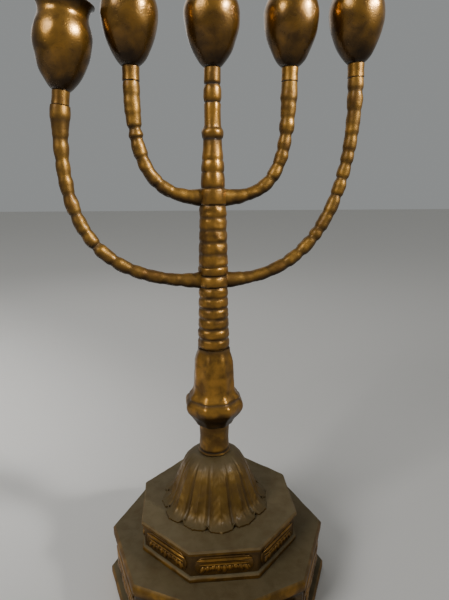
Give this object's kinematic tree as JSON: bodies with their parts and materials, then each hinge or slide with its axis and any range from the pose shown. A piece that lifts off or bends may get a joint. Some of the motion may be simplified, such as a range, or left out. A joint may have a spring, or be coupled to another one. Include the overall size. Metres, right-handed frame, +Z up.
{
  "type": "menorah",
  "caption": "Table menorah in patinated cast brass: egg-shaped candle cups on curved knotted branches, a ribbed column and a leafed dome on a stepped octagonal base",
  "frame": {"origin": "on the column's axis at table level, in the plane of the base's underside", "axes": "+Z up along the column; +X to the viewer's right along the line of the branches; -Y towards the viewer"},
  "size_m": [0.2181, 0.1724, 0.4345],
  "materials": {
    "pale_brass": "worn, dusty satin",
    "gilt_brass": "satin gilt",
    "dark_brass": "dark brown patina",
    "steel": "plain zinc"
  },
  "bodies": {
    "root": {"lower_plinth": "pale_brass", "upper_plinth": "pale_brass", "lower_relief_panels": "gilt_brass", "upper_relief_panels": "gilt_brass", "leaf_dome": "dark_brass", "neck_sleeve": "gilt_brass", "bell_knop": "dark_brass", "lower_column": "dark_brass", "outer_branch_hub": "dark_brass", "middle_column": "dark_brass", "inner_branch_hub": "dark_brass", "upper_column": "dark_brass", "centre_ferrule": "gilt_brass", "outer_left_branch": "dark_brass", "inner_left_branch": "dark_brass", "inner_right_branch": "dark_brass", "outer_right_branch": "dark_brass", "outer_left_ferrule": "gilt_brass", "inner_left_ferrule": "gilt_brass", "inner_right_ferrule": "gilt_brass", "outer_right_ferrule": "gilt_brass", "outer_left_cup": "dark_brass", "inner_left_cup": "dark_brass", "centre_cup": "dark_brass", "inner_right_cup": "dark_brass", "outer_right_cup": "dark_brass", "cup_screws": "steel", "tie_rod": "steel", "clamp_plate": "steel", "tie_rod_washer": "steel", "tie_rod_nut": "steel"}
  },
  "joints": []
}
